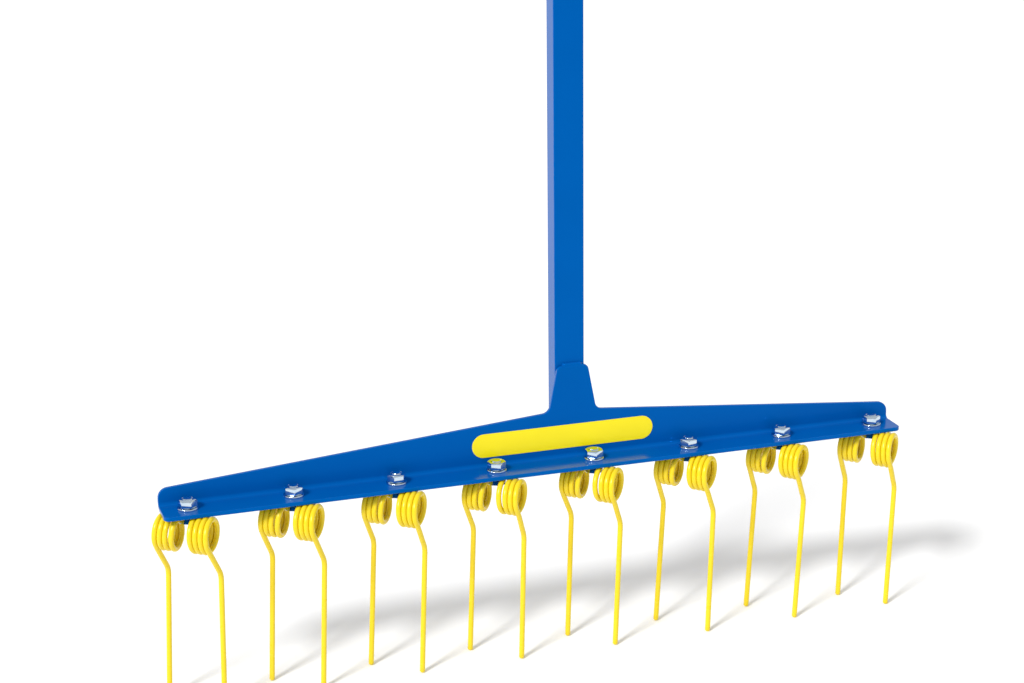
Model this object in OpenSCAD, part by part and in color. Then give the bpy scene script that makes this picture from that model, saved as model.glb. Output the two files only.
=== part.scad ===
// Spring tine hand rake: a folded sheet beam on a rectangular tube handle,
// with a row of bolted double coil spring tines.
// X runs along the beam, +Z up the handle. The origin lies on the handle's
// rear face, on its centre line, level with the top of the beam's flange.

/* [Beam] */
// Distance from one tine bolt to the next
tine_pitch = 100; // [90:1:120]
// Beam left over past each end bolt
end_margin = 25; // [20:1:40]
// Thickness of the folded sheet
sheet_t = 4; // [3:0.5:6]
// Inside radius of the fold between web and flange
fold_r = 4; // [2:0.5:6]
// Flange left over in front of the bolt line
flange_front = 18; // [14:0.5:26]
// Height of the web above the flange at both ends of the beam
web_end_h = 16.5; // [14:0.5:25]
// Height above the flange where the web's two slopes would meet
web_peak_h = 48.5; // [42:0.5:60]
// Radius of the web's upper end corners
web_corner_r = 10; // [3:1:12]
// Radius of the flange's front corners
flange_corner_r = 6; // [2:1:12]

/* [Tongue] */
// Height of the tongue's top above the flange
tongue_h = 93; // [85:1:130]
// Width of the tongue at its top, before rounding
tongue_top_w = 31; // [26:1:40]
// Width of the tongue where it grows out of the web
tongue_foot_w = 49; // [42:1:70]
// Radius of the tongue's top corners
tongue_corner_r = 6; // [2:1:10]
// Radius of the fillets at the tongue's foot
tongue_fillet_r = 8; // [3:1:14]
// How far the tongue's middle stands to the right of the handle's
tongue_offset = 2; // [-4:0.5:4]

/* [Handle] */
// How far the handle stands to the right of the beam's middle
handle_offset = 31.5; // [0:0.5:45]
// Width of the handle tube along the beam
tube_w = 30; // [24:1:36]
// Depth of the handle tube from front to back
tube_d = 20; // [16:1:30]
// Wall of the handle tube
tube_wall = 2; // [1.5:0.25:3]
// Outside corner radius of the handle tube
tube_corner_r = 1; // [0.75:0.25:4]
// Length of the handle tube
tube_len = 1200; // [700:10:1700]
// Leg of the fillet welds between tube and beam
weld_leg = 3.5; // [2:0.5:4.5]
// Thickness of the end plug's cap
plug_cap_t = 3; // [2:0.5:6]
// Depth of the end plug inside the tube
plug_depth = 18; // [12:1:30]
// Number of ribs that grip the tube
plug_ribs = 3; // [2:1:4]

/* [Label] */
// Length of the bare sticker on the web
label_len = 187; // [80:1:260]
// Height of the sticker, with fully round ends
label_h = 24; // [12:1:26]
// Thickness of the sticker
label_t = 0.3; // [0.2:0.1:0.6]
// Distance from the flange's top to the sticker's middle
label_z = 21; // [20:0.5:26]
// How far the sticker's middle stands to the right of the beam's middle
label_offset = 23.5; // [-40:0.5:60]

/* [Tines] */
// Diameter of the spring wire
wire_d = 5; // [4:0.25:6]
// Inside diameter of the coils
coil_id = 26; // [22:0.5:32]
// Space between one turn and the next
turn_gap = 0.45; // [0.45:0.05:1.2]
// Extra space beside the innermost turn
inner_gap = 0.9; // [0:0.1:1.5]
// Mean turn of the tines about their bolts, right coil forward
tine_yaw = 42; // [0:0.5:45]
// How far the coil axis lies in front of the bolt
coil_forward = 6.5; // [5:0.5:12]
// Angle past the coil's front where the leg leaves it
leave_angle = 34; // [32:1:55]
// Length of the cranked upper leg, from the coil to the knee's corner
crank_len = 40; // [34:0.5:60]
// Bending radius of the knee
knee_r = 16; // [8:1:20]
// Forward lean of the lower leg
leg_lean = 6.5; // [0:0.5:20]
// Depth of the tine tips below the flange's top
tine_reach = 188; // [150:1:240]
// Length of the bevel at each tip
tip_bevel = 1; // [0.4:0.1:1.6]

/* [Fasteners] */
// Thread diameter of the tine bolts
bolt_d = 10; // [8:1:12]
// Diameter of the countersunk bolt heads
head_d = 19; // [16:0.5:20]
// Edge left upright round a bolt head
head_rim = 0.4; // [0.2:0.1:1]
// Key size of the sockets in the bolt heads
socket_w = 6; // [5:1:8]
// Depth of the sockets
socket_depth = 3.2; // [2:0.2:4]
// Outside diameter of the washers under the nuts
washer_od = 20; // [19:0.5:24]
// Thickness of the washers
washer_t = 2; // [1:0.25:3]
// Spanner size of the nuts
spanner_w = 16; // [15:1:18]
// Height of the nuts
nut_h = 7.8; // [6:0.2:9]
// Bolt end that shows past its nut
bolt_tail = 0.8; // [0.5:0.1:4]

/* [Clearances] */
// Radial play of a bolt in the beam
hole_play = 0.5; // [0.25:0.05:1]
// Radial play of a bolt in its washer and in the tine's loop
bolt_play = 0.25; // [0.1:0.05:0.5]
// Radial play left in the nut's thread
thread_play = 0.05; // [0.02:0.01:0.1]
// Coat of paint between the wire and what clamps it
coat = 0.1; // [0.05:0.05:0.3]
// Space between a washer and the fold
washer_to_fold = 0.5; // [0.25:0.25:3]
// Space between the end plug's ribs and the tube
plug_play = 0.1; // [0.05:0.05:0.3]

/* [Hidden] */
tine_count = 8;
coil_turns = 3;
// Further turn of each tine from the left, in degrees, as its nut was tightened
tine_turns = [-6.5, -5.5, -4, -2, 2, 5, 8, 4];
// Turn of each nut from the left, in degrees, as the spanner left it
nut_turns = [42, 24, 2, 39, 27, 6, 25, 37];
$fn = 48;

// Beam: its middle, its back and front faces and the bolt line
beam_len = (tine_count - 1) * tine_pitch + 2 * end_margin;
beam_x = -handle_offset;
web_back_y = -tube_d;
web_front_y = web_back_y - sheet_t;
bolt_setback = fold_r + washer_to_fold + washer_od / 2;
bolt_y = web_front_y - bolt_setback;
flange_front_y = bolt_y - flange_front;
fold_outer_r = fold_r + sheet_t;
function bolt_x(i) = beam_x + (i - (tine_count - 1) / 2) * tine_pitch;
function yaw(i) = tine_yaw + tine_turns[i];

// Height of the web's sloping top edge at a distance right of the beam's middle
function slope_h(x, end_x) =
  web_end_h + (web_peak_h - web_end_h) * (end_x - x) / (end_x - handle_offset);

// Tine, in its own frame: u along the coil axis, v to the back, z up,
// from the bolt's axis at the flange's top
wire_r = wire_d / 2;
coil_r = coil_id / 2 + wire_r;
turn_pitch = wire_d + turn_gap;
loop_r = bolt_d / 2 + bolt_play + wire_r;
wire_top_z = -(sheet_t + coat);
coil_z = wire_top_z - wire_r - coil_r;
coil_v = -coil_forward;

// Bolt, from below: its 90 degree cone bears on the round of the loop, a coat away
bolt_r = bolt_d / 2;
head_r = head_d / 2;
cone_top_z = wire_top_z - wire_r + loop_r - (wire_r + coat) * sqrt(2) - bolt_r;
cone_h = head_r - bolt_r;
head_z = cone_top_z - cone_h - head_rim;
bolt_top_z = washer_t + nut_h + bolt_tail;

// Where turn n crosses the top of the coil
function turn_u(n) = loop_r + n * turn_pitch + (n > 0 ? inner_gap : 0);

// One half turn as [start, end]: down the front, or up the back, with a short
// straight between the two at the coil's top and bottom
turn_flat = 0.3;
function half_turn(k) =
  let (n = floor(k / 2), u0 = turn_u(n), u1 = n < coil_turns ? turn_u(n + 1) : u0 + turn_pitch,
       um = (u0 + u1) / 2, front = coil_v - turn_flat / 2, back = coil_v + turn_flat / 2)
  k % 2 == 0 ? [[u0, front, coil_z + coil_r], [um, front, coil_z - coil_r]]
             : [[um, back, coil_z - coil_r], [u1, back, coil_z + coil_r]];
function turn_tilt(k) = let (h = half_turn(k)) atan2(h[1][0] - h[0][0], 2 * coil_r);
function way(k) = k % 2 == 0 ? [0, -1, 0] : [0, 1, 0];
function unit(v) = v / norm(v);

// Point and direction after turning by an angle through half turn k
function turn_point(k, a) =
  let (h = half_turn(k), c = (h[0] + h[1]) / 2, x = h[0] - c)
  c + x * cos(a) + way(k) * norm(x) * sin(a);
function turn_dir(k, a) =
  let (h = half_turn(k), x = unit(h[0] - h[1])) way(k) * cos(a) - x * sin(a);

// Leg: it leaves the last half turn and runs on straight for one wire diameter.
// A slight side bend then squares it to the coil axis.
last_half = 2 * coil_turns;
leave_turn = 90 + leave_angle;
leave_at = turn_point(last_half, leave_turn);
leave_dir = turn_dir(last_half, leave_turn);
leg_start = leave_at + wire_d * leave_dir;
crank_dir = unit([0, leave_dir[1], leave_dir[2]]);
side_bend_r = 3 * wire_d;
lower_dir = [0, -sin(leg_lean), -cos(leg_lean)];
function bend_angle(d0, d1) = acos(d0 * d1);
function bend_run(d0, d1, r) = r * tan(bend_angle(d0, d1) / 2);
crank_start = leg_start + (leave_dir + crank_dir) * bend_run(leave_dir, crank_dir, side_bend_r);
knee_run = bend_run(crank_dir, lower_dir, knee_r);
crank_left = crank_len - norm(crank_start - leave_at) - knee_run;
knee_at = crank_start + crank_dir * crank_left;
lower_start = knee_at + (crank_dir + lower_dir) * knee_run;
lower_len = (tine_reach + lower_start[2]) / cos(leg_lean);

// Least gap between parts of one coil's wire that lie over half a turn apart,
// measured on points along the coil and the start of its leg
gap_step = 6;
coil_points = concat(
  [for (k = [0 : last_half - 1]) for (a = [0 : gap_step : 179]) turn_point(k, a)],
  [for (a = [0 : gap_step : leave_turn]) turn_point(last_half, a)],
  [for (t = [0.5 : 0.5 : 4]) leave_at + leave_dir * min(t, 1) * wire_d + crank_dir * max(t - 1, 0) * wire_d]);
half_count = 180 / gap_step;
least_gap = min([for (i = [0 : len(coil_points) - 1 - half_count])
  for (j = [i + half_count : len(coil_points) - 1]) norm(coil_points[i] - coil_points[j])]) - wire_d;
echo(least_gap_between_turns = least_gap);

// Colours
paint_blue = "#0a5ab4";
wire_yellow = "#f2d21c";
zinc = "#c9ccd0";

// A placed frame from an origin and two square directions
function placed(o, x, y) = let (z = cross(x, y)) [
  [x[0], y[0], z[0], o[0]], [x[1], y[1], z[1], o[1]], [x[2], y[2], z[2], o[2]], [0, 0, 0, 1]];

// Wire is drawn step by step: it starts at the origin along +Y, and each step
// places what follows at its end. A bend turns the wire towards -X, and draws
// it a hair thinner than the straight runs, which lap a little into it.
bend_thin = 0.02;
bent_d = wire_d - bend_thin;
run_lap = 0.05;
module bend(r, angle) {
  translate([-r, 0, 0]) {
    rotate_extrude(angle = angle) translate([r, 0]) circle(d = bent_d);
    rotate(angle) translate([r, 0, 0]) children();
  }
}
module run(length) {
  translate([0, -run_lap, 0]) rotate([-90, 0, 0]) cylinder(d = wire_d, h = length + run_lap);
  translate([0, length, 0]) children();
}
// Turns the plane of the next bend about the wire
module roll(angle) {
  rotate([0, angle, 0]) children();
}

// Points round the corner at p, between its neighbours a and b on an anticlockwise outline
corner_steps = 10;
function corner(a, p, b, r) = r == 0 ? [p] :
  let (back = unit(a - p), on = unit(b - p), half = acos(back * on) / 2,
       c = p + unit(back + on) * r / sin(half), start = p + back * r / tan(half) - c,
       sweep = (180 - 2 * half) * (cross(-back, on) > 0 ? 1 : -1), a0 = atan2(start[1], start[0]))
  [for (k = [0 : corner_steps]) let (t = a0 + sweep * k / corner_steps) c + r * [cos(t), sin(t)]];

// Outline with rounded corners: points run anticlockwise, one radius each
module rounded_outline(points, radii) {
  n = len(points);
  polygon([for (i = [0 : n - 1])
    each corner(points[(i + n - 1) % n], points[i], points[(i + 1) % n], radii[i])]);
}

// Web with its tongue, seen from the front, from the fold upwards
module web_outline() {
  half_len = beam_len / 2;
  foot = tongue_foot_w / 2;
  top = tongue_top_w / 2;
  middle = handle_offset + tongue_offset;
  rounded_outline(
    [[-half_len, fold_r], [half_len, fold_r], [half_len, web_end_h],
     [middle + foot, slope_h(middle + foot, half_len)], [middle + top, tongue_h],
     [middle - top, tongue_h], [middle - foot, slope_h(middle - foot, -half_len)],
     [-half_len, web_end_h]],
    [0, 0, web_corner_r, tongue_fillet_r, tongue_corner_r, tongue_corner_r,
     tongue_fillet_r, web_corner_r]);
}

// Flange seen from above, from the fold to the front, with its bolt holes
module flange_outline() {
  back = web_front_y - fold_r;
  half_len = beam_len / 2;
  difference() {
    rounded_outline(
      [[-half_len, flange_front_y], [half_len, flange_front_y], [half_len, back], [-half_len, back]],
      [flange_corner_r, flange_corner_r, 0, 0]);
    for (i = [0 : tine_count - 1])
      translate([bolt_x(i) - beam_x, bolt_y]) circle(d = bolt_d + 2 * hole_play);
  }
}

// Quarter ring section of the fold
module fold_outline() {
  intersection() {
    difference() {
      circle(r = fold_outer_r);
      circle(r = fold_r);
    }
    square(fold_outer_r);
  }
}

// One folded plate: upright web with the tongue, and the flange that the tines hang from
module tine_beam() {
  color(paint_blue) translate([beam_x, 0, 0]) {
    translate([0, web_back_y, 0]) rotate([90, 0, 0]) linear_extrude(sheet_t) web_outline();
    translate([0, 0, -sheet_t]) linear_extrude(sheet_t) flange_outline();
    translate([-beam_len / 2, web_front_y - fold_r, fold_r])
      multmatrix(placed([0, 0, 0], [0, 1, 0], [0, 0, -1]))
        mirror([0, 0, 1]) linear_extrude(beam_len) fold_outline();
  }
}

// Rectangle with rounded corners about the handle's centre line
module tube_outline(w, d, r) {
  translate([0, -tube_d / 2]) {
    square([w - 2 * r, d], center = true);
    square([w, d - 2 * r], center = true);
    for (x = [-1, 1], y = [-1, 1]) translate([x * (w / 2 - r), y * (d / 2 - r)]) circle(r = r);
  }
}
tube_inner_w = tube_w - 2 * tube_wall;
tube_inner_d = tube_d - 2 * tube_wall;
tube_least_r = 0.5;
tube_inner_r = max(tube_corner_r - tube_wall, tube_least_r);
tube_bottom_z = -sheet_t;
tube_top_z = tube_bottom_z + tube_len;

// Rectangular steel tube, welded to the web's back
module handle_tube() {
  color(paint_blue) translate([0, 0, tube_bottom_z]) linear_extrude(tube_len) difference() {
    tube_outline(tube_w, tube_d, tube_corner_r);
    tube_outline(tube_inner_w, tube_inner_d, tube_inner_r);
  }
}

// Fillet welds: down both sides of the tube, and along the tongue's top edge
module handle_welds() {
  taper = (tongue_foot_w - tongue_top_w) / 2 / (tongue_h - web_peak_h);
  aside = abs(tongue_offset);
  side_top = min(tongue_h - tongue_corner_r - (tube_w / 2 + weld_leg + aside - tongue_top_w / 2) / taper,
                 tongue_h - tongue_corner_r - weld_leg);
  top_half = min(tongue_top_w / 2 - tongue_corner_r, tube_w / 2 - tube_corner_r - aside);
  color(paint_blue) {
    difference() {
      translate([0, 0, fold_r + weld_leg]) linear_extrude(side_top - fold_r - weld_leg)
        for (s = [-1, 1]) polygon([
          [s * (tube_w / 2 - tube_corner_r), web_back_y], [s * (tube_w / 2 + weld_leg), web_back_y],
          [s * tube_w / 2, web_back_y + tube_corner_r + weld_leg / 2],
          [s * (tube_w / 2 - tube_corner_r), web_back_y + tube_corner_r]]);
      linear_extrude(tongue_h) tube_outline(tube_w, tube_d, tube_corner_r);
    }
    translate([tongue_offset - top_half, web_back_y, tongue_h]) multmatrix(placed([0, 0, 0], [0, -1, 0], [0, 0, 1]))
      mirror([0, 0, 1]) linear_extrude(2 * top_half)
        polygon([[0, 0], [min(weld_leg, sheet_t), 0], [0, weld_leg]]);
  }
}

// Moulded plug that closes the handle's upper end, with ribs that grip the tube
module handle_end_plug() {
  rib_t = plug_depth / (2 * plug_ribs + 1);
  core_gap = 1.2;
  color("#1c1c1e") {
    translate([0, 0, tube_top_z]) linear_extrude(plug_cap_t)
      tube_outline(tube_w, tube_d, tube_corner_r);
    translate([0, 0, tube_top_z - plug_depth]) linear_extrude(plug_depth)
      tube_outline(tube_inner_w - 2 * core_gap, tube_inner_d - 2 * core_gap, tube_inner_r);
    for (k = [0 : plug_ribs - 1])
      translate([0, 0, tube_top_z - (2 * k + 2) * rib_t]) linear_extrude(rib_t)
        tube_outline(tube_inner_w - 2 * plug_play, tube_inner_d - 2 * plug_play, tube_inner_r);
  }
}

// Bare sticker with round ends on the front of the web
module blank_label() {
  straight = label_len - label_h;
  color(wire_yellow) translate([beam_x + label_offset, web_front_y, label_z])
    rotate([90, 0, 0]) linear_extrude(label_t) {
      square([straight, label_h], center = true);
      for (s = [-1, 1]) translate([s * straight / 2, 0]) circle(d = label_h);
    }
}

// Countersunk bolts, pushed up through the tines' loops, each with a key socket
// in its head and a turned-off thread end
module countersunk_bolts() {
  end_chamfer = 0.7;
  color(zinc) for (i = [0 : tine_count - 1]) translate([bolt_x(i), bolt_y, 0]) difference() {
    rotate_extrude() polygon([
      [0, head_z], [head_r, head_z], [head_r, head_z + head_rim], [bolt_r, cone_top_z],
      [bolt_r, bolt_top_z - end_chamfer], [bolt_r - end_chamfer, bolt_top_z], [0, bolt_top_z]]);
    translate([0, 0, head_z - socket_depth]) rotate(nut_turns[i] / 2)
      cylinder(d = socket_w / cos(30), h = 2 * socket_depth, $fn = 6);
  }
}

// Flat washers on the flange, one under each nut
module flat_washers() {
  color(zinc) for (i = [0 : tine_count - 1]) translate([bolt_x(i), bolt_y, 0]) difference() {
    cylinder(d = washer_od, h = washer_t);
    translate([0, 0, -washer_t]) cylinder(d = bolt_d + 2 * bolt_play, h = 3 * washer_t);
  }
}

// Hexagon prism standing on z = 0 with its upper and lower corners turned off at
// 30 degrees, down to round faces a little smaller than the spanner size
face_share = 0.95;
module hexagon(height) {
  corner_r = spanner_w / 2 / cos(30);
  face_r = face_share * spanner_w / 2;
  turned_h = height / 3;
  turned_r = face_r + turned_h / tan(30);
  intersection() {
    cylinder(r = corner_r, h = height, $fn = 6);
    union() {
      cylinder(r1 = face_r, r2 = turned_r, h = turned_h);
      translate([0, 0, turned_h]) cylinder(r = turned_r, h = height - 2 * turned_h);
      translate([0, 0, height - turned_h]) cylinder(r1 = turned_r, r2 = face_r, h = turned_h);
    }
  }
}

// Hexagon nuts on the washers, which draw the bolts up
module hex_nuts() {
  color(zinc) for (i = [0 : tine_count - 1])
    translate([bolt_x(i), bolt_y, washer_t]) rotate(nut_turns[i]) difference() {
      hexagon(nut_h);
      translate([0, 0, -nut_h]) cylinder(d = bolt_d + 2 * thread_play, h = 3 * nut_h);
    }
}

// Places a tine's own frame at bolt i, counted from the left
module at_tine(i) {
  translate([bolt_x(i), bolt_y, 0]) rotate(-yaw(i)) children();
}

// Half turn k of a coil and all that follow it
module winding(k) {
  roll(turn_tilt(k) + (k > 0 ? turn_tilt(k - 1) : 0))
    bend(coil_r / cos(turn_tilt(k)), k < last_half ? 180 : leave_turn)
      if (k < last_half) run(turn_flat) winding(k + 1);
      else run(wire_d);
}

// Right hand coil of a tine, from the straight beside the bolt to the leg
module coil() {
  multmatrix(placed([loop_r, 0, wire_top_z - wire_r], [0, 0, 1], [0, -1, 0]))
    run(coil_forward + turn_flat / 2) winding(0);
}

// Wound part of a tine: a loop behind the bolt joins two coils of opposite hand
module tine_spring(i) {
  color(wire_yellow) at_tine(i) {
    translate([0, 0, wire_top_z - wire_r])
      rotate_extrude(angle = 180) translate([loop_r, 0]) circle(d = bent_d);
    coil();
    mirror([1, 0, 0]) coil();
  }
}

// Right hand leg of a tine: side bend, crank, knee and bevelled lower leg
module leg() {
  inward = unit(crank_dir - leave_dir * (leave_dir * crank_dir));
  multmatrix(placed(leg_start, -inward, leave_dir))
    bend(side_bend_r, bend_angle(leave_dir, crank_dir))
      run(crank_left) roll(-90)
        bend(knee_r, bend_angle(crank_dir, lower_dir))
          run(lower_len - tip_bevel)
            rotate([-90, 0, 0]) cylinder(d1 = wire_d, d2 = wire_d - 2 * tip_bevel, h = tip_bevel);
}
module tine_right_leg(i) {
  color(wire_yellow) at_tine(i) leg();
}
module tine_left_leg(i) {
  color(wire_yellow) at_tine(i) mirror([1, 0, 0]) leg();
}

tine_beam();
handle_tube();
handle_welds();
handle_end_plug();
blank_label();
countersunk_bolts();
flat_washers();
hex_nuts();
for (i = [0 : tine_count - 1]) {
  tine_spring(i);
  tine_left_leg(i);
  tine_right_leg(i);
}
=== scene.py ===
import math

import bmesh
import bpy
import numpy as np
from mathutils import Matrix, Vector
from mathutils.geometry import tessellate_polygon


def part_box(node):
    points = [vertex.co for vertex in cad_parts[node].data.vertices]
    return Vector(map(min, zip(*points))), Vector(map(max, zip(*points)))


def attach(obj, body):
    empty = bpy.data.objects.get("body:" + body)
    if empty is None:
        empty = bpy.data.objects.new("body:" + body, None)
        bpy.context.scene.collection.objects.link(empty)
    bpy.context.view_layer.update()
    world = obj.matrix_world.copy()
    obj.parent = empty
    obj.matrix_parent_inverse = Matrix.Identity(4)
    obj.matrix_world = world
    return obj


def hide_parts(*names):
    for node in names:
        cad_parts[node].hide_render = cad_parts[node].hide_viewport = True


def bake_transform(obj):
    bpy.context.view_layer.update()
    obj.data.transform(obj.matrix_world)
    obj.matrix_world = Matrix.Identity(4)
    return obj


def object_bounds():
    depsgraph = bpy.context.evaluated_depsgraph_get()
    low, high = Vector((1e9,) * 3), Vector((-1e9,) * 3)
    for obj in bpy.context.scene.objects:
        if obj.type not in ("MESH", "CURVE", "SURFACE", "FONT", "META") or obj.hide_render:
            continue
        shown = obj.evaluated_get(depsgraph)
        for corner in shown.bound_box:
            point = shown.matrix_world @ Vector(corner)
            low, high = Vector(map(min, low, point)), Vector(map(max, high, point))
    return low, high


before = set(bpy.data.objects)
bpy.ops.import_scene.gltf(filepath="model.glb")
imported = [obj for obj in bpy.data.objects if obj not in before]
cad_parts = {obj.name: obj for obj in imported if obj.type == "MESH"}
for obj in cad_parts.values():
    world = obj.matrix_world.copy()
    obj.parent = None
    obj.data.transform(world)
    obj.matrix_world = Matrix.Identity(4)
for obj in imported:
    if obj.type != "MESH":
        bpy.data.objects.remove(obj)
cad_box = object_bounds()


# Folded beam
# One plate of 4 mm steel, cut with a tongue on its upper edge and eight bolt holes,
# then folded square along its length. The fold's inside shows, with web and flange.
MM = 0.001
TINE_COUNT = 8
SHEET_T = 4.0
FOLD_R = 4.0
SHEET_EDGE_R = 0.7
HOLE_EDGE_R = 0.2
WEB_END_H = 16.5
WEB_PEAK_H = 48.5
WEB_CORNER_R = 10.0
FLANGE_CORNER_R = 6.0
TONGUE_TOP_W = 31.0
TONGUE_FOOT_W = 49.0
TONGUE_CORNER_R = 6.0
TONGUE_FILLET_R = 8.0
TONGUE_OFFSET = 2.0
HOLE_D = 11.0


def box_mm(node):
    """A node's lowest and highest corners in millimetres."""
    return [np.array(corner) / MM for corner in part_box(node)]


def unit(vectors):
    """Each vector divided by its own length, or left at nothing."""
    return vectors / np.maximum(np.linalg.norm(vectors, axis=-1, keepdims=True), 1e-12)


def rounded_loop(corners, radii, steps=8):
    """Closed outline through corners. Each corner p becomes an arc tangent to both its sides, about
    the point r / sin(h) along the bisector, where h is half the angle between the sides."""
    p = np.array(corners, float)
    r = np.array(radii, float)[:, None]
    back = unit(np.roll(p, 1, 0) - p)
    on = unit(np.roll(p, -1, 0) - p)
    half = np.arccos(np.clip(np.sum(back * on, 1, keepdims=True), -1, 1)) / 2
    centre = p + unit(back + on) * r / np.sin(half)
    start = p + back * r / np.tan(half) - centre
    side = np.sign(back[:, 1:] * on[:, :1] - back[:, :1] * on[:, 1:])
    first = np.arctan2(start[:, 1:], start[:, :1])
    turn = first + side * (np.pi - 2 * half) * np.linspace(0, 1, steps + 1)
    points = centre[:, None] + r[..., None] * np.stack([np.cos(turn), np.sin(turn)], -1)
    points = points.reshape(-1, 2)
    step = np.linalg.norm(points - np.roll(points, 1, 0), axis=1)
    return points[step > 1e-6]


def grid_part(points):
    """Points on a grid of rows and columns, with a face between each four neighbours."""
    rows, columns = points.shape[:2]
    first = (np.arange(rows - 1)[:, None] * columns + np.arange(columns - 1)).ravel()
    faces = np.stack([first, first + 1, first + columns + 1, first + columns], 1)
    return points.reshape(-1, 3), faces.tolist()


def rim_rows(loop, half_t, edge_r, steps=4):
    """Edge of a plate: rows of the outline, drawn in by r (1 - cos a) and raised by r sin a, as a goes
    from the lower face to the upper one. The last column repeats the first."""
    ahead = unit(np.roll(loop, -1, 0) - loop)
    normal = np.stack([ahead[:, 1], -ahead[:, 0]], 1)
    before = np.roll(normal, 1, 0)
    mitre = (normal + before) / (1 + np.sum(normal * before, 1, keepdims=True))
    angle = np.linspace(0, np.pi / 2, steps)
    angle = np.concatenate([-angle[::-1], angle])
    level = np.repeat([edge_r - half_t, half_t - edge_r], steps) + edge_r * np.sin(angle)
    inset = edge_r * (1 - np.cos(angle))
    flat = loop - inset[:, None, None] * mitre
    rows = np.concatenate([flat, np.broadcast_to(level[:, None, None], flat.shape[:2] + (1,))], 2)
    return np.concatenate([rows, rows[:, :1]], 1)


def fill(*loops):
    """Triangles between a flat outline and the holes in it, as indices into the loops put end to end."""
    return [list(t) for t in tessellate_polygon([[Vector((*p[:2], 0)) for p in loop] for loop in loops])]


def make_piece(name, parts, material, sharp_deg=38):
    """One object from parts of points in millimetres and faces. Seams and poles are welded, faces
    turned outwards, and edges sharper than an angle stay sharp."""
    counts = np.cumsum([0] + [len(points) for points, _ in parts])
    points = np.concatenate([points for points, _ in parts]) * MM
    faces = [[i + n for i in face] for n, (_, part) in zip(counts, parts) for face in part]
    mesh = bpy.data.meshes.new(name)
    mesh.from_pydata(points.tolist(), [], faces)
    welded = bmesh.new()
    welded.from_mesh(mesh)
    bmesh.ops.remove_doubles(welded, verts=welded.verts, dist=0.001 * MM)
    bmesh.ops.dissolve_degenerate(welded, edges=welded.edges, dist=0.0001 * MM)
    bmesh.ops.recalc_face_normals(welded, faces=welded.faces)
    welded.to_mesh(mesh)
    welded.free()
    mesh.polygons.foreach_set("use_smooth", np.ones(len(mesh.polygons), bool))
    mesh.set_sharp_from_angle(angle=math.radians(sharp_deg))
    mesh.materials.append(material)
    piece = bpy.data.objects.new(name, mesh)
    bpy.context.scene.collection.objects.link(piece)
    return piece


def keep_flats(piece):
    """Large flat faces set the shading of the narrow rounded edges beside them."""
    modifier = piece.modifiers.new("flat faces", "WEIGHTED_NORMAL")
    modifier.keep_sharp = True
    modifier.weight = 100


def linear(hex_colour):
    """An sRGB hex colour as linear light: c / 12.92 in the toe, else ((c + 0.055) / 1.055) ** 2.4."""
    c = np.array([int(hex_colour[i:i + 2], 16) for i in (1, 3, 5)]) / 255
    return (*np.where(c <= 0.04045, c / 12.92, ((c + 0.055) / 1.055) ** 2.4), 1.0)


def add(tree, kind, values=(), links=(), **settings):
    """Adds a shader node, with its settings, its inputs' values and what is linked to its inputs."""
    node = tree.nodes.new(kind)
    for key, value in settings.items():
        setattr(node, key, value)
    for key, value in dict(values).items():
        node.inputs[key].default_value = value
    for key, socket in dict(links).items():
        tree.links.new(socket, node.inputs[key])
    return node


def new_material(name, **sockets):
    """A material and its shader, with the numbers and colours that are the same all over."""
    material = bpy.data.materials.new(name)
    material.use_nodes = True
    shader = material.node_tree.nodes["Principled BSDF"]
    for key, value in sockets.items():
        shader.inputs[key.replace("_", " ")].default_value = value
    return material, material.node_tree, shader


# Gloss polyester powder, sprayed and baked: deep even colour, sharp reflections that
# waver a little on its orange peel, and a slightly paler look where it lies thin.
PEEL_MM = 2.2
COAT_DRIFT_MM = 60
blue_powder, tree, shader = new_material(
    "blue_gloss_powder_coat", IOR=1.5, Specular_IOR_Level=0.45, Specular_Tint=linear("#0060c0"))
place = add(tree, "ShaderNodeTexCoord").outputs["Object"]
drift = add(tree, "ShaderNodeTexNoise", {"Scale": 1 / (COAT_DRIFT_MM * MM), "Detail": 3},
            {"Vector": place})
colour = add(tree, "ShaderNodeMix", {"A": linear("#00539f"), "B": linear("#0059a9")},
             {"Factor": drift.outputs["Fac"]}, data_type="RGBA")
tree.links.new(colour.outputs["Result"], shader.inputs["Base Color"])
peel = add(tree, "ShaderNodeTexNoise", {"Scale": 1 / (PEEL_MM * MM), "Detail": 1}, {"Vector": place})
bump = add(tree, "ShaderNodeBump", {"Strength": 0.12, "Distance": 0.1 * MM},
           {"Height": peel.outputs["Fac"]})
tree.links.new(bump.outputs["Normal"], shader.inputs["Normal"])
gloss = add(tree, "ShaderNodeMapRange", {"To Min": 0.1, "To Max": 0.2}, {"Value": drift.outputs["Fac"]})
tree.links.new(gloss.outputs["Result"], shader.inputs["Roughness"])

beam_low, beam_high = box_mm("tine_beam")
washer_low, washer_high = box_mm("flat_washers")
washer_r = (washer_high[1] - washer_low[1]) / 2
bolt_y = washer_low[1] + washer_r
bolt_x = np.linspace(washer_low[0] + washer_r, washer_high[0] - washer_r, TINE_COUNT)
fold_mid_r = FOLD_R + SHEET_T / 2
flange_flat = beam_high[1] - SHEET_T - FOLD_R - beam_low[1]
fold_end = flange_flat + fold_mid_r * np.pi / 2
handle_x = (box_mm("handle_tube")[0][0] + box_mm("handle_tube")[1][0]) / 2


def folded(flat):
    """Flat sheet to folded sheet. Across it, t runs along the flange, then round a quarter turn about
    the fold's centre, then up the web. The third number is the height off the sheet's middle."""
    x, t, off = np.moveaxis(flat, -1, 0)
    turn = np.clip((t - flange_flat) / fold_mid_r, 0, np.pi / 2)
    y = beam_low[1] + np.minimum(t, flange_flat) + (fold_mid_r - off) * np.sin(turn)
    z = FOLD_R - (fold_mid_r - off) * np.cos(turn) + np.maximum(t - fold_end, 0)
    return np.stack([x, y, z], -1)


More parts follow.
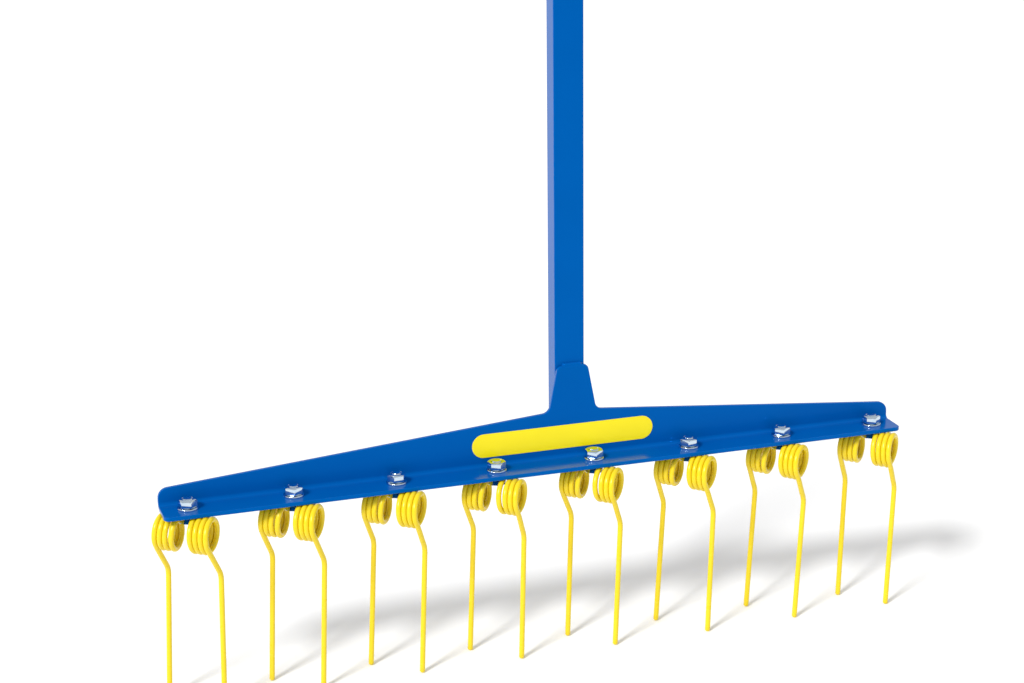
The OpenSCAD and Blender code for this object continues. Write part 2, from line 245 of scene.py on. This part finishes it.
def web_t(z):
    """Distance across the flat sheet of a height on the web."""
    return fold_end + z - FOLD_R


def slope_z(x, end_x):
    """Height of the web's sloping top edge, which runs from one end to a peak at the handle."""
    return WEB_END_H + (WEB_PEAK_H - WEB_END_H) * (end_x - x) / (end_x - handle_x)


left, right, tongue_top = beam_low[0], beam_high[0], beam_high[2]
tongue_x = handle_x + TONGUE_OFFSET
foot_left, foot_right = tongue_x - TONGUE_FOOT_W / 2, tongue_x + TONGUE_FOOT_W / 2
fold_ts = np.linspace(flange_flat, fold_end, 9)
sheet_loop = rounded_loop(
    [(left, 0), (right, 0), *[(right, t) for t in fold_ts], (right, web_t(WEB_END_H)),
     (foot_right, web_t(slope_z(foot_right, right))), (tongue_x + TONGUE_TOP_W / 2, web_t(tongue_top)),
     (tongue_x - TONGUE_TOP_W / 2, web_t(tongue_top)), (foot_left, web_t(slope_z(foot_left, left))),
     (left, web_t(WEB_END_H)), *[(left, t) for t in fold_ts[::-1]]],
    [FLANGE_CORNER_R] * 2 + [0] * 9
    + [WEB_CORNER_R, TONGUE_FILLET_R, TONGUE_CORNER_R, TONGUE_CORNER_R, TONGUE_FILLET_R, WEB_CORNER_R]
    + [0] * 9)
sheet_rim = rim_rows(sheet_loop, SHEET_T / 2, SHEET_EDGE_R)
hole_turn = -np.linspace(0, 2 * np.pi, 32, endpoint=False)
hole_circle = HOLE_D / 2 * np.stack([np.cos(hole_turn), np.sin(hole_turn)], 1)
hole_rims = [rim_rows(hole_circle + (x, bolt_y - beam_low[1]), SHEET_T / 2, HOLE_EDGE_R) for x in bolt_x]
beam_parts = [grid_part(folded(rim)) for rim in [sheet_rim, *hole_rims]]
flange_ring = sheet_loop[:, 1] < flange_flat + 0.01
web_ring = sheet_loop[:, 1] > fold_end - 0.01
for face in (0, -1):
    ring = sheet_rim[face, :-1]
    holes = [rim[face, :-1] for rim in hole_rims]
    flange = [ring[flange_ring], *holes]
    beam_parts.append((folded(np.concatenate(flange)), fill(*flange)))
    beam_parts.append((folded(ring[web_ring]), fill(ring[web_ring])))
    in_fold = np.abs(ring[:, 1] - (flange_flat + fold_end) / 2) < (fold_end - flange_flat) / 2 + 0.01
    up = ring[in_fold & (ring[:, 0] > handle_x)]
    down = ring[in_fold & (ring[:, 0] < handle_x)][::-1]
    beam_parts.append(grid_part(folded(np.stack([down, up], 1))))
beam = make_piece("folded_beam", beam_parts, blue_powder)
keep_flats(beam)
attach(beam, "frame")
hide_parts("tine_beam")


# Handle tube
# A rectangular steel tube, 30 by 20 mm with 2 mm walls and tight corners, cut square
# at both ends, welded to the web's back and coated together with the beam.
TUBE_WALL = 2.0
TUBE_CORNER_R = 1.0
TUBE_LEAST_R = 0.5
TUBE_EDGE_R = 0.3
tube_low, tube_high = box_mm("handle_tube")
tube_middle = (tube_low[:2] + tube_high[:2]) / 2
tube_w, tube_d = (tube_high - tube_low)[:2]


def rounded_rectangle(w, d, r, z):
    """Rectangle with rounded corners about the handle's centre line at a height, closed on itself."""
    corners = np.array([(w, -d), (w, d), (-w, d), (-w, -d)]) / 2
    loop = rounded_loop(corners, [r] * 4, steps=6) + tube_middle
    loop = np.concatenate([loop, loop[:1]])
    return np.concatenate([loop, np.full((len(loop), 1), z)], 1)


# Down the outside and up the inside: how far in from the outer face, and at which height
bottom, top, rim = tube_low[2], tube_high[2], TUBE_EDGE_R
tube_rows = [(rim, top), (0, top - rim), (0, bottom + rim), (rim, bottom),
             (TUBE_WALL, bottom), (TUBE_WALL, top), (rim, top)]
tube_grid = np.stack([
    rounded_rectangle(tube_w - 2 * inset, tube_d - 2 * inset,
                      max(TUBE_CORNER_R - inset, TUBE_LEAST_R), z)
    for inset, z in tube_rows])
tube = make_piece("handle_box_tube", [grid_part(tube_grid)], blue_powder)
keep_flats(tube)
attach(tube, "frame")
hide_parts("handle_tube")


# Weld beads
# Three fillet welds under the paint hold the tube: one down each side of it on the
# web's back, and one along the tongue's top edge. Each pass left its row of ripples.
WELD_LEG = 3.5
RIPPLE_MM = 1.6
SIDE_BULGE, SIDE_RIPPLE = 0.3, 0.3
TOP_BULGE, TOP_RIPPLE = 1.1, 0.08
TOP_WELD_H = 2.2
WELD_TAPER = 2.0
LEAST_TAPER = 0.02
WELD_SIDE_TOP = 62.2
WELD_TOP_HALF = 10.5


def weld_bead(toe_a, toe_b, root, along, length, bulge, ripple, steps_per_ripple=6):
    """A bead: its section runs from toe to toe on a bulged face, back through its root, and is carried
    along a line. The face rises and falls as |sin| of the way, and the ends taper into the corner."""
    way = np.linspace(0, length, int(length / RIPPLE_MM * steps_per_ripple))
    across = np.linspace(0, 1, 9)
    toe_a, toe_b, root, along = (np.array(v, float) for v in (toe_a, toe_b, root, along))
    out = unit((toe_a + toe_b) / 2 - root)
    swell = np.sin(np.pi * across) * (bulge + ripple * np.abs(np.sin(np.pi * way / RIPPLE_MM))[:, None])
    taper = np.sqrt(np.clip(np.minimum(way, length - way) / WELD_TAPER, LEAST_TAPER, 1))[:, None, None]
    face = toe_a + (toe_b - toe_a) * across[:, None] + swell[..., None] * out
    section = np.concatenate([face, np.broadcast_to(root, (len(way), 1, 3)), face[:, :1]], 1)
    section = root + (section - root) * taper + along * way[:, None, None]
    ends = [np.broadcast_to(s.mean(0), s.shape)[None] for s in (section[0], section[-1])]
    return grid_part(np.concatenate([ends[0], section, ends[1]]))


web_back = beam_high[1]
side_low = FOLD_R + WELD_LEG
corner_in = TUBE_CORNER_R * (1 - math.sqrt(0.5))
weld_parts = [
    weld_bead((handle_x + s * (tube_w / 2 + WELD_LEG), web_back, side_low),
              (handle_x + s * tube_w / 2, web_back + TUBE_CORNER_R + WELD_LEG / 2, side_low),
              (handle_x + s * (tube_w / 2 - corner_in), web_back + corner_in, side_low),
              (0, 0, 1), WELD_SIDE_TOP - side_low, SIDE_BULGE, SIDE_RIPPLE)
    for s in (-1, 1)]
weld_parts.append(
    weld_bead((tongue_x - WELD_TOP_HALF, web_back - WELD_LEG, tongue_top),
              (tongue_x - WELD_TOP_HALF, web_back, tongue_top + TOP_WELD_H),
              (tongue_x - WELD_TOP_HALF, web_back, tongue_top),
              (1, 0, 0), 2 * WELD_TOP_HALF, TOP_BULGE, TOP_RIPPLE))
welds = make_piece("weld_beads", weld_parts, blue_powder, sharp_deg=60)
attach(welds, "frame")
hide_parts("handle_welds")


# End plug
# A moulded plastic plug closes the tube's upper end. Its cap covers the wall, and ribs
# on its hollow core grip the tube from inside.
PLUG_DOME = 0.8
PLUG_EDGE_R = 0.8
PLUG_CORE_GAP = 1.2
PLUG_PLAY = 0.1
PLUG_RIBS = 3
RIB_RAMP = 0.2
CORE_CORNER_R = 0.5
CORE_MIDDLE = (0.1, 0.1, 0.04)
plug_low, plug_high = box_mm("handle_end_plug")
cap_low = tube_high[2]
rib_t = (cap_low - plug_low[2]) / (2 * PLUG_RIBS + 1)
inner_w, inner_d = tube_w - 2 * TUBE_WALL, tube_d - 2 * TUBE_WALL

# Semi-gloss moulded polyethylene with a fine spark-eroded grain, which breaks up its shine
GRAIN_MM = 0.5
black_plastic, tree, shader = new_material("black_moulded_polyethylene", IOR=1.5, Specular_IOR_Level=0.4)
place = add(tree, "ShaderNodeTexCoord").outputs["Object"]
grain = add(tree, "ShaderNodeTexNoise", {"Scale": 1 / (GRAIN_MM * MM), "Detail": 2}, {"Vector": place})
colour = add(tree, "ShaderNodeMix", {"A": linear("#141416"), "B": linear("#222225")},
             {"Factor": grain.outputs["Fac"]}, data_type="RGBA")
tree.links.new(colour.outputs["Result"], shader.inputs["Base Color"])
bump = add(tree, "ShaderNodeBump", {"Strength": 0.35, "Distance": 0.05 * MM},
           {"Height": grain.outputs["Fac"]})
tree.links.new(bump.outputs["Normal"], shader.inputs["Normal"])
gloss = add(tree, "ShaderNodeMapRange", {"To Min": 0.38, "To Max": 0.5}, {"Value": grain.outputs["Fac"]})
tree.links.new(gloss.outputs["Result"], shader.inputs["Roughness"])

# Each row: width, depth, corner radius and height, from the core's lower end to the cap's middle
core = (inner_w - 2 * PLUG_CORE_GAP, inner_d - 2 * PLUG_CORE_GAP, CORE_CORNER_R)
rib = (inner_w - 2 * PLUG_PLAY, inner_d - 2 * PLUG_PLAY, TUBE_LEAST_R)
plug_rows = [(*CORE_MIDDLE, plug_low[2]), (*core, plug_low[2])]
for k in reversed(range(PLUG_RIBS)):
    rib_low = cap_low - (2 * k + 2) * rib_t
    plug_rows += [(*core, rib_low), (*rib, rib_low + RIB_RAMP * rib_t),
                  (*rib, rib_low + rib_t), (*core, rib_low + rib_t)]
plug_rows += [(*core, cap_low), (tube_w, tube_d, TUBE_CORNER_R, cap_low)]
for a in np.linspace(0, np.pi / 2, 6):
    inset = 2 * PLUG_EDGE_R * (1 - math.cos(a))
    plug_rows.append((tube_w - inset, tube_d - inset, TUBE_CORNER_R - inset / 2,
                      plug_high[2] - PLUG_DOME - PLUG_EDGE_R * (1 - math.sin(a))))
for share in (0.75, 0.5, 0.25, 0.01):
    plug_rows.append(((tube_w - inset) * share, (tube_d - inset) * share,
                      (TUBE_CORNER_R - inset / 2) * share, plug_high[2] - PLUG_DOME * share ** 2))
plug_grid = np.stack([rounded_rectangle(*row) for row in plug_rows])
pole_rows = [np.broadcast_to(plug_grid[i].mean(0), plug_grid[i].shape) for i in (0, -1)]
plug_grid = np.concatenate([pole_rows[0][None], plug_grid, pole_rows[1][None]])
plug = make_piece("end_plug", [grid_part(plug_grid)], black_plastic)
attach(plug, "frame")
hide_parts("handle_end_plug")


# Bare sticker
# A capsule of yellow vinyl film on the web's front, left blank. Its cut edge stands a
# little proud of the paint.
LABEL_END_FLAT = 0.01
label_low, label_high = box_mm("blank_label")
label_middle = (label_low + label_high) / 2
label_t = label_high[1] - label_low[1]
label_half_l, _, label_half_h = (label_high - label_low) / 2

# Gloss vinyl: flat saturated yellow under a clear laminate, with a faint drift in its colour
FILM_COLOUR_MM = 25
yellow_film, tree, shader = new_material(
    "yellow_gloss_vinyl", IOR=1.46, Roughness=0.28, Specular_IOR_Level=0.4)
place = add(tree, "ShaderNodeTexCoord").outputs["Object"]
drift = add(tree, "ShaderNodeTexNoise", {"Scale": 1 / (FILM_COLOUR_MM * MM), "Detail": 4},
            {"Vector": place})
colour = add(tree, "ShaderNodeMix", {"A": linear("#f5e000"), "B": linear("#f9e700")},
             {"Factor": drift.outputs["Fac"]}, data_type="RGBA")
tree.links.new(colour.outputs["Result"], shader.inputs["Base Color"])

label_loop = rounded_loop(
    [(s * label_half_l, q * label_half_h) for s, q in ((-1, -1), (1, -1), (1, 1), (-1, 1))],
    [label_half_h - LABEL_END_FLAT] * 4, steps=16)
label_rim = rim_rows(label_loop, label_t / 2, label_t / 3)


def on_web(flat):
    """A flat point laid on the web's front: across, up, and out towards the front."""
    return np.stack([flat[..., 0], -flat[..., 2], flat[..., 1]], -1) + label_middle


label_parts = [grid_part(on_web(label_rim))]
label_parts += [(on_web(label_rim[i, :-1]), fill(label_rim[i, :-1])) for i in (0, -1)]
label = make_piece("blank_sticker", label_parts, yellow_film)
keep_flats(label)
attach(label, "frame")
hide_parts("blank_label")


# Spring tines
# Each tine is one length of 5 mm spring wire: a loop behind its bolt, two coils of
# opposite hand, and two cranked legs. It is wound, tempered and coated yellow.
WIRE_D = 5.0
COIL_R = 15.5
TURN_PITCH = 5.35
LOOP_R = 7.75
COIL_FORWARD = 6.5
LEAVE_DEG = 124
COIL_TURNS = 3
CRANK_LEN = 40.0
KNEE_R = 16.0
LEG_U = 27.53
LEG_LEAN_DEG = 6.5
FADE_LEN = 12.0
TIP_BEVEL = 1.0
TINE_REACH = 188.0
TINE_YAW_DEG = (35.5, 36.5, 38.0, 40.0, 44.0, 47.0, 50.0, 46.0)
WIRE_COAT = 0.1

# Winding: how far the first turn stands off the next, and the share of a turn over which it does
TIGHT, OPEN, WIDE = (0.2, 0.6), (1.7, 0.7), (1.3, 1.0)
WINDINGS = {"left": (OPEN,) * 7 + (TIGHT,), "right": (TIGHT,) * 3 + (WIDE,) * 2 + (TIGHT,) * 3}

# Seat: how far each coil sits off its centred place, counted outwards from its bolt
SEATS = {"left": (-1.8,) * 7 + (-1.0,), "right": (1.6,) * 8}

# Set: how far each leg stands out of line, counted outwards from its bolt, at its knee and its tip
SETS = {"left": ((-2.6, -3.2), (-1.8, -2.0), (-0.9, -0.3), (-1.2, -1.5),
                 (-1.9, -3.8), (0.4, 1.4), (0.9, 1.7), (-1.6, -2.5)),
        "right": ((1.4, 5.0), (0.2, 0.6), (-1.1, -0.9), (-0.8, 1.1),
                  (-0.3, 0.5), (-1.0, 0.9), (-1.9, -2.3), (-0.9, -0.9))}
wire_z = beam_low[2] - WIRE_COAT - WIRE_D / 2
coil_v, coil_z = -COIL_FORWARD, wire_z - COIL_R
tip_z = -TINE_REACH

# Gloss yellow polyester powder on the wire: thick and even outside, with a soft orange peel
WIRE_PEEL_MM = 1.8
WIRE_DRIFT_MM = 14
yellow_coat, tree, shader = new_material("yellow_gloss_powder_coat", IOR=1.5, Specular_IOR_Level=0.4)
place = add(tree, "ShaderNodeTexCoord").outputs["Object"]
drift = add(tree, "ShaderNodeTexNoise", {"Scale": 1 / (WIRE_DRIFT_MM * MM), "Detail": 3},
            {"Vector": place})
colour = add(tree, "ShaderNodeMix", {"A": linear("#e8cb10"), "B": linear("#eed420")},
             {"Factor": drift.outputs["Fac"]}, data_type="RGBA")
tree.links.new(colour.outputs["Result"], shader.inputs["Base Color"])
peel = add(tree, "ShaderNodeTexNoise", {"Scale": 1 / (WIRE_PEEL_MM * MM), "Detail": 1},
           {"Vector": place})
bump = add(tree, "ShaderNodeBump", {"Strength": 0.15, "Distance": 0.1 * MM},
           {"Height": peel.outputs["Fac"]})
tree.links.new(bump.outputs["Normal"], shader.inputs["Normal"])
gloss = add(tree, "ShaderNodeMapRange", {"To Min": 0.2, "To Max": 0.34}, {"Value": drift.outputs["Fac"]})
tree.links.new(gloss.outputs["Result"], shader.inputs["Roughness"])


def ease(share):
    """Smooth step from 0 to 1: s^2 (3 - 2 s), with the share s held between them."""
    share = np.clip(share, 0, 1)
    return share ** 2 * (3 - 2 * share)


def half_tine_path(inner_gap, gap_turns, seat, knee_out, tip_out):
    """Right half of a tine's wire in its own frame: along the coil axis, to the back, and up. A quarter
    circle behind the bolt, a straight, a helix that starts at its top, and a leg. The helix moves along
    its axis by one pitch a turn, and past the coil this drift d fades out: d (x - x^2 / 2 fade). The
    leg's set comes in smoothly from the coil to the knee, and grows evenly from there to the tip."""
    quarter = np.linspace(np.pi / 2, 0, 14)
    loop = np.stack([LOOP_R * np.cos(quarter), LOOP_R * np.sin(quarter), 0 * quarter + wire_z], 1)
    beside = np.linspace(0, coil_v, 5)[1:-1]
    straight = np.stack([LOOP_R + seat * ease(beside / coil_v) ** 2, beside, 0 * beside + wire_z], 1)

    turn = np.radians(np.arange(0, 360 * COIL_TURNS + LEAVE_DEG + 1, 6))
    leave = math.radians(LEAVE_DEG)
    turn = np.append(turn[turn < 2 * np.pi * COIL_TURNS + leave - 0.02], 2 * np.pi * COIL_TURNS + leave)
    coil = np.stack([0 * turn, coil_v - COIL_R * np.sin(turn), coil_z + COIL_R * np.cos(turn)], 1)

    lean = math.radians(LEG_LEAN_DEG)
    crank_way = np.array([-math.cos(leave), -math.sin(leave)])
    leg_way = np.array([-math.sin(lean), -math.cos(lean)])
    bend = math.acos(crank_way @ leg_way)
    knee_run = KNEE_R * math.tan(bend / 2)
    crank = np.linspace(0, CRANK_LEN - knee_run, 12)[1:, None] * crank_way + coil[-1, 1:]
    inward = unit(leg_way - crank_way * (crank_way @ leg_way))
    arc = np.linspace(0, bend, 12)[1:, None]
    knee = crank[-1] + KNEE_R * (np.sin(arc) * crank_way + (1 - np.cos(arc)) * inward)
    leg_len = (knee[-1, 1] - tip_z) / math.cos(lean)
    down = np.append(np.linspace(0, leg_len - TIP_BEVEL, 20)[1:], leg_len)
    leg = np.concatenate([crank, knee, knee[-1] + down[:, None] * leg_way])
    leg = np.concatenate([np.zeros((len(leg), 1)), leg], 1)

    wound = np.concatenate([coil, leg])
    way = np.append(0, np.cumsum(np.linalg.norm(np.diff(wound, axis=0), axis=1)))
    one_turn = 2 * np.pi * COIL_R
    drift = TURN_PITCH / one_turn
    leave_way = COIL_TURNS * one_turn + COIL_R * leave
    past = np.clip(way - leave_way, 0, FADE_LEN)
    wound[:, 0] = LOOP_R + seat + inner_gap * ease(way / (gap_turns * one_turn))
    wound[:, 0] += drift * (np.minimum(way, leave_way) + past - past ** 2 / (2 * FADE_LEN))
    to_knee = LEG_U + knee_out - wound[-1, 0]
    wound[:, 0] += to_knee * ease((way - leave_way) / CRANK_LEN)
    wound[:, 0] += np.interp(way, [leave_way + CRANK_LEN, way[-1]], [0, tip_out - knee_out])
    return np.concatenate([loop, straight, wound])


def sweep(path, sides=18):
    """Round wire along a path: a ring about each point, square to the path, turned from one fixed
    direction that the wire never runs along. The last ring is bevelled, and the ends close."""
    radius = np.full(len(path), WIRE_D / 2 + WIRE_COAT)
    radius[-1] -= TIP_BEVEL
    ahead = unit(np.gradient(path, axis=0))
    reference = unit(np.array([1.0, 1.0, 0.0]))
    side = unit(reference - (ahead @ reference)[:, None] * ahead)
    over = np.cross(ahead, side)
    turn = np.linspace(0, 2 * np.pi, sides + 1)[:, None]
    ring = np.cos(turn) * side[:, None] + np.sin(turn) * over[:, None]
    rows = path[:, None] + radius[:, None, None] * ring
    ends = [np.broadcast_to(path[i], rows[i].shape)[None] for i in (0, -1)]
    return np.concatenate([ends[0], rows, ends[1]])


for i in range(TINE_COUNT):
    yaw = math.radians(TINE_YAW_DEG[i])
    along_coil = np.array([math.cos(yaw), -math.sin(yaw), 0])
    to_back = np.array([math.sin(yaw), math.cos(yaw), 0])
    bolt_at = np.array([bolt_x[i], bolt_y, 0])
    for hand, sign in (("left", -1), ("right", 1)):
        wire = sweep(half_tine_path(*WINDINGS[hand][i], SEATS[hand][i], *SETS[hand][i]))
        u, v, z = np.moveaxis(wire, -1, 0)[..., None]
        grid = bolt_at + sign * u * along_coil + v * to_back + z * np.array([0, 0, 1])
        tine = make_piece(f"tine_{i + 1}_{hand}_half", [grid_part(grid)], yellow_coat, sharp_deg=50)
        leg = f"tine_{i + 1}_{hand}_leg"
        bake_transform(tine)
        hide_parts(f"tine_{i + 1}_spring", leg)


# Bolts
# M10 countersunk bolts, cold forged and zinc plated, pushed up through the tines' loops.
# Each cone bears on its wire from below and has a key socket; the thread ends on top.
BOLT_R = 5.0
HEAD_RIM = 0.4
SOCKET_W = 6.0
SOCKET_DEPTH = 3.2
THREAD_PITCH = 1.5
THREAD_DEPTH = 0.9
THREAD_LEN = 13.0
THREAD_RELIEF = 0.5
EDGE_BREAK = 0.15
SOCKET_BREAK = 0.3
SOCKET_FLOOR_DIP = 0.6
SOCKET_FLOOR_SHARE = 0.9
SOCKET_FILLET = 0.2
END_DOME = 0.02
AROUND = 72
NUT_TURN_DEG = np.array([42, 24, 2, 39, 27, 6, 25, 37])

# Bright zinc plate, blue passivated: a clean pale metal whose film drifts from bluish to straw
FILM_DRIFT_MM = 5
PLATE_GRAIN_MM = 0.7
zinc, tree, shader = new_material("bright_zinc_plate", Metallic=1.0)
place = add(tree, "ShaderNodeTexCoord").outputs["Object"]
film = add(tree, "ShaderNodeTexNoise", {"Scale": 1 / (FILM_DRIFT_MM * MM), "Detail": 3},
           {"Vector": place})
colour = add(tree, "ShaderNodeMix", {"A": linear("#b4cfe8"), "B": linear("#d8e0e4")},
             {"Factor": film.outputs["Fac"]}, data_type="RGBA")
tree.links.new(colour.outputs["Result"], shader.inputs["Base Color"])
grain = add(tree, "ShaderNodeTexNoise", {"Scale": 1 / (PLATE_GRAIN_MM * MM), "Detail": 2},
            {"Vector": place})
bump = add(tree, "ShaderNodeBump", {"Strength": 0.2, "Distance": 0.04 * MM},
           {"Height": grain.outputs["Fac"]})
tree.links.new(bump.outputs["Normal"], shader.inputs["Normal"])
gloss = add(tree, "ShaderNodeMapRange", {"To Min": 0.05, "To Max": 0.14},
            {"Value": grain.outputs["Fac"]})
tree.links.new(gloss.outputs["Result"], shader.inputs["Roughness"])

bolt_low, bolt_high = box_mm("countersunk_bolts")
head_r = (bolt_high[1] - bolt_low[1]) / 2
head_z, bolt_top = bolt_low[2], bolt_high[2]
around = np.linspace(0, 2 * np.pi, AROUND + 1)


def hexagon(width):
    """How far a hexagon's sides lie from its middle, at each angle a: (w / 2) / cos(a mod 60 - 30)."""
    return width / 2 / np.cos(around % (np.pi / 3) - np.pi / 6)


def revolved(*rows):
    """A profile carried round the upright axis: rows of a radius and a height, each of which may
    differ with the angle."""
    even = np.ones(AROUND + 1)
    return np.stack([np.stack([r * np.cos(around), r * np.sin(around), z * even], -1) for r, z in rows])


def row_of_bolts(grid, z, turns=np.zeros(TINE_COUNT)):
    """A part repeated at each bolt, at a height, each turned about its own axis."""
    turns = np.radians(turns)[:, None, None]
    x = grid[..., 0] * np.cos(turns) - grid[..., 1] * np.sin(turns) + bolt_x[:, None, None]
    y = grid[..., 0] * np.sin(turns) + grid[..., 1] * np.cos(turns) + bolt_y
    return [grid_part(part) for part in np.stack([x, y, 0 * x + grid[..., 2] + z], -1)]


# The thread's crests and roots rise by one pitch a turn, and its end is turned off
thread_z = np.linspace(bolt_top - THREAD_LEN, bolt_top, 70)
wave = np.abs(2 * ((thread_z[:, None] / THREAD_PITCH - around / (2 * np.pi)) % 1) - 1)
turned_end = BOLT_R - THREAD_DEPTH + (bolt_top - thread_z[:, None])
thread_r = np.minimum(BOLT_R - THREAD_DEPTH * wave, turned_end)
socket_r = hexagon(SOCKET_W)
socket_z = head_z + SOCKET_DEPTH
bolt = revolved(
    (0, socket_z + SOCKET_FLOOR_DIP), (SOCKET_FLOOR_SHARE * socket_r, socket_z),
    (socket_r, socket_z - SOCKET_FILLET),
    (socket_r, head_z + SOCKET_BREAK), (socket_r + SOCKET_BREAK, head_z),
    (head_r - EDGE_BREAK, head_z), (head_r, head_z + EDGE_BREAK),
    (head_r, head_z + HEAD_RIM), (BOLT_R, head_z + HEAD_RIM + head_r - BOLT_R),
    (BOLT_R, bolt_top - THREAD_LEN - THREAD_RELIEF), *zip(thread_r, thread_z), (0, bolt_top + END_DOME))
bolts = make_piece("countersunk_bolt_row", row_of_bolts(bolt, 0, NUT_TURN_DEG / 2), zinc, sharp_deg=30)
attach(bolts, "frame")
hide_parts("countersunk_bolts")


# Washers
# Flat steel washers, punched and zinc plated, one between each nut and the paint.
# Punching rounds one edge a little.
WASHER_BORE_R = 5.25
WASHER_EDGE_R = 0.8
washer_t = washer_high[2] - washer_low[2]
round_a = np.linspace(0, np.pi / 2, 5)
round_r = washer_r - WASHER_EDGE_R * (1 - np.sin(round_a))
round_z = washer_t - WASHER_EDGE_R * (1 - np.cos(round_a))
washer = revolved(
    (WASHER_BORE_R, washer_t - EDGE_BREAK), (WASHER_BORE_R + EDGE_BREAK, washer_t),
    *zip(round_r, round_z), (washer_r, EDGE_BREAK), (washer_r - EDGE_BREAK, 0),
    (WASHER_BORE_R, 0), (WASHER_BORE_R, washer_t - EDGE_BREAK))
washers = make_piece("flat_washer_row", row_of_bolts(washer, washer_low[2]), zinc, sharp_deg=50)
keep_flats(washers)
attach(washers, "frame")
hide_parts("flat_washers")


# Nuts
# M10 hexagon nuts, cold forged and zinc plated, with both faces turned off at 30 degrees.
# They draw the bolts up, and each was left at a turn of its own by the spanner.
SPANNER_W = 16.0
FACE_SHARE = 0.95
CORNER_SHARE = 0.572
NUT_BORE_R = 5.05
BORE_BEVEL = 0.6
FACE_INSET = 0.1
CORNER_DROP = 0.05
nut_low, nut_high = box_mm("hex_nuts")
nut_h = nut_high[2] - nut_low[2]
face_r = FACE_SHARE * SPANNER_W / 2
corner_r = np.minimum(hexagon(SPANNER_W), CORNER_SHARE * SPANNER_W)
turned_off = (corner_r - face_r) * math.tan(math.pi / 6)
upper_off = nut_h - turned_off
nut = revolved(
    (NUT_BORE_R, BORE_BEVEL), (NUT_BORE_R + BORE_BEVEL, 0), (face_r - FACE_INSET, 0),
    (corner_r - FACE_INSET, turned_off - CORNER_DROP), (corner_r, turned_off + EDGE_BREAK),
    (corner_r, upper_off - EDGE_BREAK), (corner_r - FACE_INSET, upper_off + CORNER_DROP),
    (face_r - FACE_INSET, nut_h),
    (NUT_BORE_R + BORE_BEVEL, nut_h), (NUT_BORE_R, nut_h - BORE_BEVEL), (NUT_BORE_R, BORE_BEVEL))
nuts = make_piece("hex_nut_row", row_of_bolts(nut, nut_low[2], NUT_TURN_DEG), zinc, sharp_deg=30)
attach(nuts, "frame")
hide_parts("hex_nuts")


# Floor and light
# The rake stands on its tips on a plain white studio floor under an even white sky, with
# one soft lamp high on the left that draws the flange's shadow over the coils.
FLOOR_HALF_MM = 30000
FLOOR_GAP = 0.2
SKY_STRENGTH = 0.66
LAMP_STRENGTH = 2.6
LAMP_ACROSS_DEG = 13
LAMP_FROM = Vector((-1.0, -0.7, 1.1))
floor_z = cad_box[0][2] / MM - FLOOR_GAP
floor_edge = np.linspace(-FLOOR_HALF_MM, FLOOR_HALF_MM, 3)
floor_grid = np.stack([*np.meshgrid(floor_edge, floor_edge), np.full((3, 3), floor_z)], -1)
white_floor, _, _ = new_material("white_studio_floor", Base_Color=linear("#fafafa"), Roughness=0.9)
floor = make_piece("studio_floor", [grid_part(floor_grid)], white_floor)

world = bpy.data.worlds.new("white_studio")
world.use_nodes = True
sky = world.node_tree.nodes["Background"]
sky.inputs["Color"].default_value = linear("#ffffff")
sky.inputs["Strength"].default_value = SKY_STRENGTH
bpy.context.scene.world = world

lamp_data = bpy.data.lights.new("key_lamp", "SUN")
lamp_data.energy = LAMP_STRENGTH
lamp_data.angle = math.radians(LAMP_ACROSS_DEG)
lamp = bpy.data.objects.new("key_lamp", lamp_data)
lamp.rotation_euler = (-LAMP_FROM).to_track_quat("-Z", "Y").to_euler()
bpy.context.scene.collection.objects.link(lamp)
bpy.context.scene.view_settings.view_transform = "Standard"


# Camera
# A long lens from the front, turned to the left and a little above, as in the photograph,
# whose frame is taken as 1024 by 683 pixels. The handle runs out of it at the top.
IMAGE_W = 1024
FOCAL_PX = 2235.4
SENSOR_MM = 36.0
VIEW_AZIMUTH = math.radians(-18.039)
VIEW_ELEVATION = math.radians(16.99)
VIEW_ROLL = math.radians(-0.609)
VIEW_TARGET = np.array([-59.743, -24.0, 123.672])
VIEW_DISTANCE = 2140.2
back = np.array([math.sin(VIEW_AZIMUTH) * math.cos(VIEW_ELEVATION),
                 -math.cos(VIEW_AZIMUTH) * math.cos(VIEW_ELEVATION), math.sin(VIEW_ELEVATION)])
level = np.array([math.cos(VIEW_AZIMUTH), math.sin(VIEW_AZIMUTH), 0])
upright = np.cross(back, level)
to_right = math.cos(VIEW_ROLL) * level + math.sin(VIEW_ROLL) * upright
to_top = math.cos(VIEW_ROLL) * upright - math.sin(VIEW_ROLL) * level
camera_data = bpy.data.cameras.new("camera")
camera_data.sensor_width = SENSOR_MM
camera_data.lens = FOCAL_PX * SENSOR_MM / IMAGE_W
camera = bpy.data.objects.new("camera", camera_data)
turned = Matrix(np.stack([to_right, to_top, back], 1).tolist()).to_4x4()
camera.matrix_world = Matrix.Translation(Vector((VIEW_TARGET + back * VIEW_DISTANCE) * MM)) @ turned
bpy.context.scene.collection.objects.link(camera)
bpy.context.scene.camera = camera
